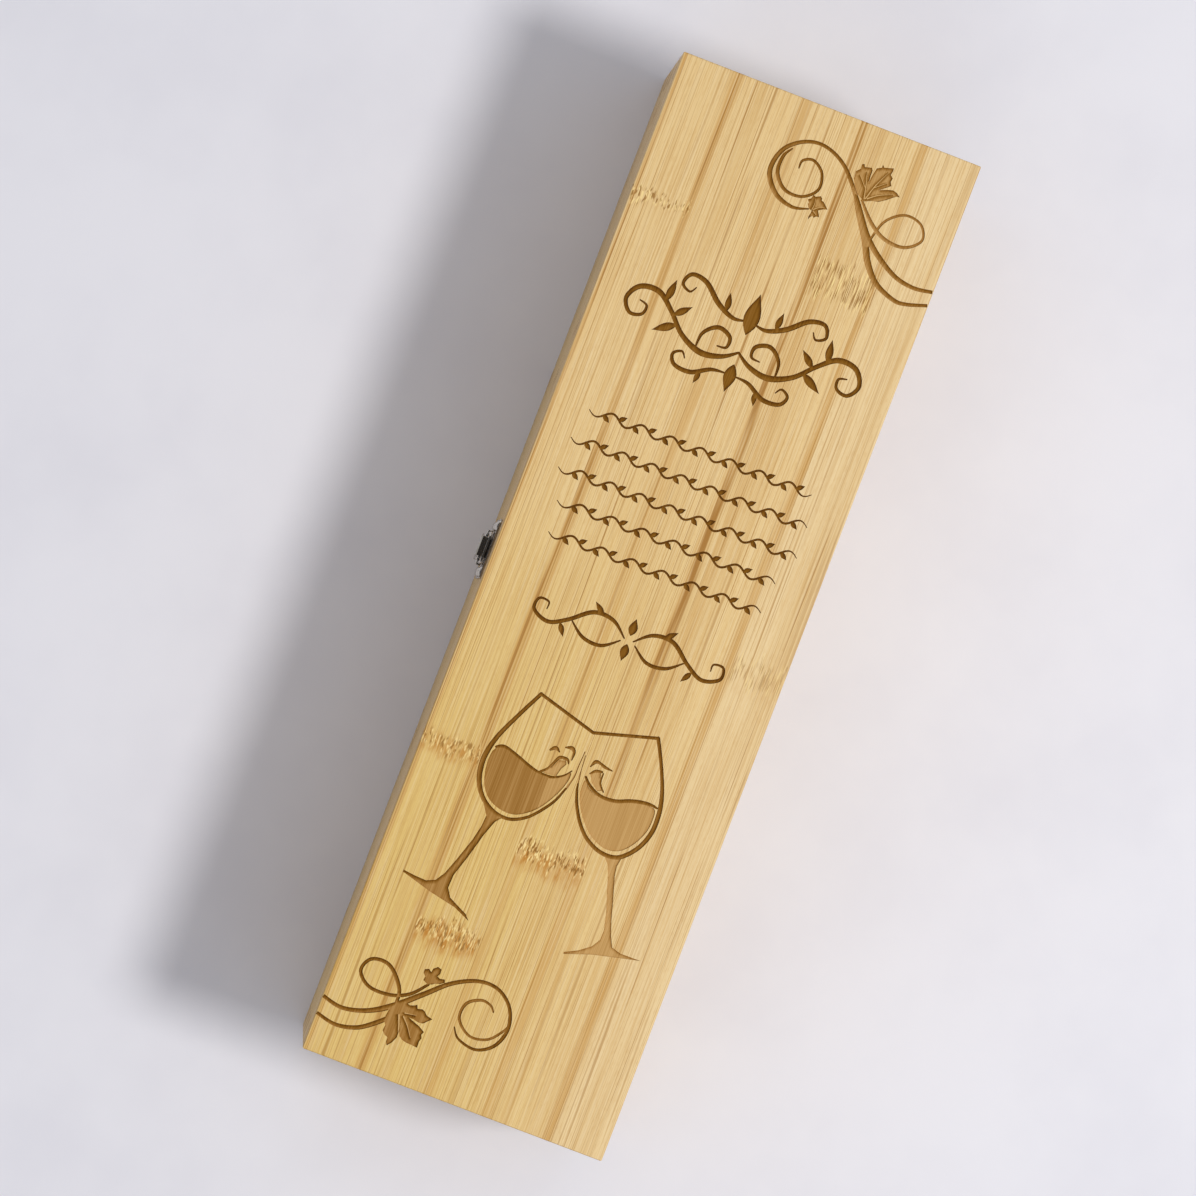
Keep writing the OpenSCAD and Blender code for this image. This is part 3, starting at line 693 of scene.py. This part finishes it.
def drawGlass(plan, glass, stem):
    for part, mark in (("bowl", "glass"), ("surface", "glass"), ("brim", "brim")):
        plan.stroke(glass[part], mark)
    for drop in glass["drops"]:
        plan.stroke(drop, "drop")
    plan.fill(glass["splash"], "splash")
    plan.fill(glass["stem"], stem)
    wine = smoothPath(glass["wine"], engraving["wineStep"], closed=True)
    plan.fill(wine, "paleWine")
    plan.add([p for p in wine if p[0] < glass["darkWineTo"]], "darkWine")


def drawEngraving(plan):
    for scroll, mark in ((upperScroll, "upperScroll"), ([upperLoop], "upperLoop"),
                         (lowerScroll, "lowerScroll"), ([lowerCurl], "lowerCurl")):
        for points in scroll:
            plan.stroke(points, mark)
    for outline, mark in ((upperLeaf, "upperLeaf"), (upperLeaflet, "upperLeaf"),
                          (lowerLeaf, "lowerLeaf"), (lowerLeaflet, "lowerLeaf")):
        plan.fill(outline, mark)
    for vein in upperVeins + leafletVeins + lowerVeins:
        plan.stroke(vein, "vein")
    drawGlass(plan, leftGlass, "leftStem")
    drawGlass(plan, rightGlass, "rightStem")
    for start, end in zip(rim, rim[1:]):
        plan.stroke([start, end], "glass")
    drawOrnament(plan, flourish)
    drawOrnament(plan, divider)
    for along, start in zip(vineRows["along"], vineRows["from"]):
        drawVine(plan, along, start)


# The lid panel

lidPanel = {"edgeRadius": 0.6, "edgeSteps": 4, "cornerSteps": 5}
smoothAngle = 35    # edges sharper than this stay sharp in the shading


def selectFaces(piece, wanted):
    mesh = piece.data
    for parts in (mesh.vertices, mesh.edges):
        parts.foreach_set("select", [False] * len(parts))
    mesh.polygons.foreach_set("select", [wanted(polygon) for polygon in mesh.polygons])


def inEditMode(piece, *steps, kind="FACE"):
    # runs each step on what is selected on the piece
    bpy.ops.object.select_all(action="DESELECT")
    bpy.context.view_layer.objects.active = piece
    piece.select_set(True)
    bpy.context.tool_settings.mesh_select_mode = [kind == each for each in ("VERT", "EDGE", "FACE")]
    bpy.ops.object.mode_set(mode="EDIT")
    for step in steps:
        step()
    bpy.ops.object.mode_set(mode="OBJECT")
    piece.select_set(False)


def lidOutline():
    radius, steps = lidPanel["edgeRadius"], lidPanel["cornerSteps"]
    outline = []
    for sx, sy, first in ((1, 1, 0), (-1, 1, 90), (-1, -1, 180), (1, -1, 270)):
        for k in range(steps + 1):
            turn = math.radians(first + 90 * k / steps)
            outline.append((sx * (lidHigh.x - radius) + radius * math.cos(turn),
                            sy * (lidHigh.y - radius) + radius * math.sin(turn)))
    return outline


def edgeDrop(x, y):
    # how far the rounded edge lies under the flat top
    radius = lidPanel["edgeRadius"]
    near = min(lidHigh.x - abs(x), lidHigh.y - abs(y))
    return radius - math.sqrt(max(radius ** 2 - max(radius - near, 0) ** 2, 0))


def toLid(point):
    # from (across, along) on the plan to the frame's X and Y
    across, along = engraving["shift"]
    return Vector((point[1] + along + lidLow.x, point[0] + across + lidLow.y))


def cutPlan(plan):
    # the lid's top as a flat net: its points in millimetres, its faces, and each face's burn with its painted
    # shade, or None
    points = [toLid(p) for p in plan.points]
    loops = [loop[::-1] for loop in plan.loops]     # the plan is mirrored on its way to X and Y
    first = len(points)
    points += [Vector(p) for p in lidOutline()]
    loops.append(list(range(first, len(points))))
    outer = len(loops) - 1
    edges = []
    radius, steps = lidPanel["edgeRadius"], lidPanel["edgeSteps"]
    for k in range(1, steps + 1):
        inset = radius * (1 - math.cos(math.pi / 2 * k / steps))
        x, y = lidHigh.x - inset, lidHigh.y - inset
        for line in (((-x, y), (x, y)), ((x, y), (x, -y)), ((x, -y), (-x, -y)), ((-x, -y), (-x, y))):
            edges.append((len(points), len(points) + 1))
            points += [Vector(end) for end in line]
    flat, _, faces, _, _, sources = delaunay_2d_cdt(points, edges, loops, 0, 1e-4, True)

    inside = [i for i, source in enumerate(sources) if outer in source]
    faceBurnsAndShades = []
    for i in inside:
        shapes = [plan.marks[s] for s in sources[i] if s < outer]
        if "vein" in shapes:
            faceBurnsAndShades.append(burnsAndShades["vein"])
        else:
            faceBurnsAndShades.append(max((burnsAndShades[shape] for shape in shapes), default=None))
    used = sorted({v for i in inside for v in faces[i]})
    order = {v: n for n, v in enumerate(used)}
    return [flat[v] for v in used], [[order[v] for v in faces[i]] for i in inside], faceBurnsAndShades


def shadeDistances(net, floors):
    # millimetres from each point of the floors to their nearest edge on the sides that shade them
    level = [Vector((x * mm, y * mm, 0)) for x, y in net]
    tree = BVHTree.FromPolygons(level, floors)
    ways = [Vector((along, across, 0)) for across, along in engraving["shadeFrom"]]
    edgeAway = {}
    for v in {v for face in floors for v in face}:
        for part in range(1, engraving["shadeSteps"] + 1):
            edgeAway[v] = part * engraving["shadeStep"]
            spots = [level[v] + way * edgeAway[v] * mm + Vector((0, 0, mm)) for way in ways]
            if any(tree.ray_cast(spot, Vector((0, 0, -1)))[0] is None for spot in spots):
                edgeAway[v] -= engraving["shadeStep"]
                break
    return edgeAway


def burnAndShadeFloors(mesh, faceBurnsAndShades, edgeAway):
    # gives the burnt faces their material, and their corners the darkness of the burn plus painted shade that
    # grows towards their shaded edges
    char = mesh.attributes.new("char", "FLOAT", "CORNER")
    for polygon, burn in zip(mesh.polygons, faceBurnsAndShades):
        if burn is not None:
            polygon.material_index = 1
            allOver, more, reach = burn
            for corner in polygon.loop_indices:
                away = edgeAway.get(mesh.loops[corner].vertex_index, reach)
                # burn all over, plus painted shade fading over reach millimetres from the shaded edge
                char.data[corner].value = allOver + more * max(0, 1 - away / reach)


def sinkAndClose(lid):
    # sinks the burnt floors, then draws the rim of the sheet down to a flat underside
    selectFaces(lid, lambda polygon: polygon.material_index == 1)
    inEditMode(lid, lambda: bpy.ops.mesh.extrude_region_move(
        TRANSFORM_OT_translate={"value": (0, 0, -engraving["depth"] * mm)}))
    selectFaces(lid, lambda polygon: False)
    bottom = lidLow.z * mm
    inEditMode(
        lid,
        lambda: bpy.ops.mesh.select_all(action="DESELECT"),
        lambda: bpy.ops.mesh.select_non_manifold(
            extend=False, use_wire=False, use_boundary=True, use_multi_face=False, use_non_contiguous=False,
            use_verts=False),
        lambda: bpy.ops.mesh.extrude_region_move(),
        lambda: bpy.ops.transform.resize(value=(1, 1, 0), center_override=(0, 0, bottom)),
        lambda: bpy.ops.mesh.edge_face_add(),
        lambda: bpy.ops.mesh.select_all(action="SELECT"),
        lambda: bpy.ops.mesh.normals_make_consistent(inside=False),
        kind="EDGE")


def finish(piece, body, node):
    # smooths, keeps the flat faces flat in the light, hangs the piece on the body it rides, and hides its CAD
    # node
    bpy.ops.object.select_all(action="DESELECT")
    bpy.context.view_layer.objects.active = piece
    piece.select_set(True)
    bpy.ops.object.shade_smooth_by_angle(angle=math.radians(smoothAngle))
    weighted = piece.modifiers.new("weighted", "WEIGHTED_NORMAL")
    weighted.weight = 100
    weighted.keep_sharp = True
    bpy.ops.object.modifier_apply(modifier=weighted.name)
    piece.select_set(False)
    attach(piece, body)
    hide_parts(node)


def makeLid():
    plan = Plan()
    drawEngraving(plan)
    net, faces, faceBurnsAndShades = cutPlan(plan)
    mesh = bpy.data.meshes.new("engravedLidPanel")
    mesh.from_pydata([(x * mm, y * mm, (lidHigh.z - edgeDrop(x, y)) * mm) for x, y in net], [], faces)
    lid = bpy.data.objects.new("engravedLidPanel", mesh)
    bpy.context.scene.collection.objects.link(lid)
    mesh.materials.append(lidBamboo)
    mesh.materials.append(burntBamboo)

    floors = [face for face, burn in zip(faces, faceBurnsAndShades) if burn not in (None, burnsAndShades["vein"])]
    burnAndShadeFloors(mesh, faceBurnsAndShades, shadeDistances(net, floors))
    sinkAndClose(lid)
    char = mesh.attributes["char"]
    for polygon in mesh.polygons:
        if polygon.material_index == 1 and abs(polygon.normal.z) < 0.3:     # the upright walls of the cut
            for corner in polygon.loop_indices:
                char.data[corner].value = engraving["wallBurn"]
    finish(lid, "lid", "lid_panel")
    print("lid panel engraved,", len(mesh.polygons), "faces")


makeLid()


# Boards of the box and the lid's rails, with eased edges

alongX = {"axes": (0, 2, 1), "length": 350}
alongY = {"axes": (1, 2, 0), "length": 105}
boards = {
    "base_panel": {"axes": (0, 1, 2), "length": 350, "stripWidth": 21, "shift": 4, "seed": 11.0, "ease": 0.2},
    "front_wall": {**alongX, "stripWidth": 19.5, "shift": 3, "seed": 21.0, "ease": 0.35},
    "back_wall": {**alongX, "stripWidth": 20, "shift": 8, "seed": 31.0, "ease": 0.35},
    "left_end_wall": {**alongY, "stripWidth": 20, "shift": 1, "seed": 41.0, "ease": 0.35},
    "right_end_wall": {**alongY, "stripWidth": 19, "shift": 6, "seed": 51.0, "ease": 0.35},
    "neck_cradle": {**alongY, "stripWidth": 22, "shift": 2, "seed": 61.0, "ease": 0.4},
    "body_cradle": {**alongY, "stripWidth": 22, "shift": 9, "seed": 71.0, "ease": 0.4},
    "lid_front_rail": {**alongX, "stripWidth": 19, "shift": 2, "seed": 81.0, "ease": 0.35},
    "lid_back_rail": {**alongX, "stripWidth": 21, "shift": 5, "seed": 91.0, "ease": 0.35},
    "lid_left_end_rail": {**alongY, "stripWidth": 20, "shift": 7, "seed": 101.0, "ease": 0.35},
    "lid_right_end_rail": {**alongY, "stripWidth": 20, "shift": 3, "seed": 111.0, "ease": 0.35},
}
easing = {"mergeWithin": 0.002, "segments": 2, "flatWithin": 0.5, "easedFrom": 40}  # last two in degrees
bodyOf = {name: body for body, names in frame["record"]["behaviour"]["bodies"].items() for name in names}


def copyOfNode(node, name):
    # a merged copy of a CAD node's mesh, with its flat faces joined up
    piece = bpy.data.objects.new(name, frame["nodes"][node].data.copy())
    bpy.context.scene.collection.objects.link(piece)
    piece.data.materials.clear()
    inEditMode(
        piece,
        lambda: bpy.ops.mesh.select_all(action="SELECT"),
        lambda: bpy.ops.mesh.remove_doubles(threshold=easing["mergeWithin"] * mm),
        lambda: bpy.ops.mesh.dissolve_limited(angle_limit=math.radians(easing["flatWithin"])))
    return piece


def easeEdges(piece, width):
    bevel = piece.modifiers.new("eased", "BEVEL")
    bevel.width = width * mm
    bevel.segments = easing["segments"]
    bevel.limit_method = "ANGLE"
    bevel.angle_limit = math.radians(easing["easedFrom"])
    bevel.use_clamp_overlap = True
    bpy.ops.object.select_all(action="DESELECT")
    bpy.context.view_layer.objects.active = piece
    piece.select_set(True)
    bpy.ops.object.modifier_apply(modifier=bevel.name)
    piece.select_set(False)


def camel(node):
    # a node's name in camel case, for a piece's own name
    first, *rest = node.split("_")
    return first + "".join(word.title() for word in rest)


for node, board in boards.items():
    piece = copyOfNode(node, camel(node) + "Board")
    piece.data.materials.append(bambooMaterial(camel(node) + "Bamboo", board))
    easeEdges(piece, board["ease"])
    finish(piece, bodyOf[node], node)
print("boards done,", len(boards))


# Hinges, latch and screws

fittings = {"plate": 0.12, "pin": 0.1, "screws": 0.06}      # how wide their edges are eased

for node, body in bodyOf.items():
    if node.startswith(("hinge", "latch")):
        piece = copyOfNode(node, camel(node) + "Metal")
        piece.data.materials.append(brightNickel)
        kind = next((word for word in ("screws", "pin") if word in node), "plate")
        easeEdges(piece, fittings[kind])
        finish(piece, body, node)
print("metal fittings done")


# Floor, lights and camera

studio = {
    "floor": tone(232, 230, 234),
    "floorDeep": tone(226, 224, 229),
    "floorSize": 12.0,
    "keyPower": 26.0,
    "keyDistance": 2.2,
    "keyHeight": 63,
    "keySize": 0.42,
    "horizonLight": (0.06, 0.06, 0.065, 1),
    "overheadLight": (0.70, 0.72, 0.77, 1),
    "backdrop": (0.62, 0.62, 0.63, 1),
    "dark": (0.04, 0.04, 0.045, 1),
    "backdropTo": 0.12,
    "darkFrom": 0.25,
    "windows": [((-0.72, -0.25, 0.65), 0.90), ((0.62, 0.30, 0.72), 0.95)],  # where, cosine of the edge
    "windowBlur": 0.03,
}
photoCamera = {"place": (0.03557, -0.10369, 2.07116), "turn": (-0.0344, -2.7617, 110.9596), "lens": 180.6}


def makeStudio():
    bpy.ops.mesh.primitive_plane_add(size=studio["floorSize"], location=(0, 0, 0))
    floor = bpy.context.object
    floor.name = "studioFloor"
    material, graph, shader = newMaterial("paleFloor")
    clouds = graph.noise(graph.place(), 0.01, 4.0, 0.6)
    graph.feed(shader.inputs["Base Color"], graph.mix(
        clouds.rise(0.35, 0.7), studio["floor"], studio["floorDeep"]))
    shader.inputs["Roughness"].default_value = 0.9
    shader.inputs["Specular IOR Level"].default_value = 0.2
    floor.data.materials.append(material)

    height = math.radians(studio["keyHeight"])
    reach = studio["keyDistance"]
    bpy.ops.object.light_add(type="AREA", location=(0, reach * math.cos(height), reach * math.sin(height)))
    key = bpy.context.object
    key.name = "keyLight"
    key.rotation_euler = (-(math.pi / 2 - height), 0, 0)
    key.data.shape = "DISK"
    key.data.size = studio["keySize"]
    key.data.energy = studio["keyPower"]

    world = bpy.data.worlds.new("studioWorld")
    bpy.context.scene.world = world
    world.use_nodes = True
    graph = Graph(world.node_tree)
    background = world.node_tree.nodes["Background"]
    up = graph.node("ShaderNodeSeparateXYZ", {0: graph.node("ShaderNodeTexCoord", {}, out=0)}, out=2)
    diffuse = graph.node("ShaderNodeValToRGB", {0: up}, stops=[
        (0.0, studio["horizonLight"]), (1.0, studio["overheadLight"])])
    seen = graph.node("ShaderNodeValToRGB", {0: up}, stops=[
        (0.0, studio["backdrop"]), (studio["backdropTo"], studio["backdrop"]),
        (studio["darkFrom"], studio["dark"]), (1.0, studio["dark"])])
    way = graph.node("ShaderNodeTexCoord", {}, out=0)
    for towards, edge in studio["windows"]:
        near = graph.node("ShaderNodeVectorMath", {0: way, 1: Vector(towards).normalized()}, out=1,
                          operation="DOT_PRODUCT")
        seen = graph.mix(near.rise(edge, edge + studio["windowBlur"]), seen, (1, 1, 1, 1))
    # the camera and what shines see the backdrop and the windows, everything else takes the even light
    camera, glossy = [graph.node("ShaderNodeLightPath", {}, out=kind) for kind in (0, 3)]
    graph.feed(background.inputs["Color"], graph.mix(camera.highest(glossy), diffuse, seen))


def makeCamera():
    bpy.ops.object.camera_add(
        location=photoCamera["place"], rotation=[math.radians(angle) for angle in photoCamera["turn"]])
    camera = bpy.context.object
    camera.name = "photoCamera"
    camera.data.lens = photoCamera["lens"]
    camera.data.sensor_width = 36
    camera.data.clip_end = 50
    bpy.context.scene.camera = camera


makeStudio()
makeCamera()
bpy.context.scene.view_settings.view_transform = "Standard"
print("studio and camera ready")
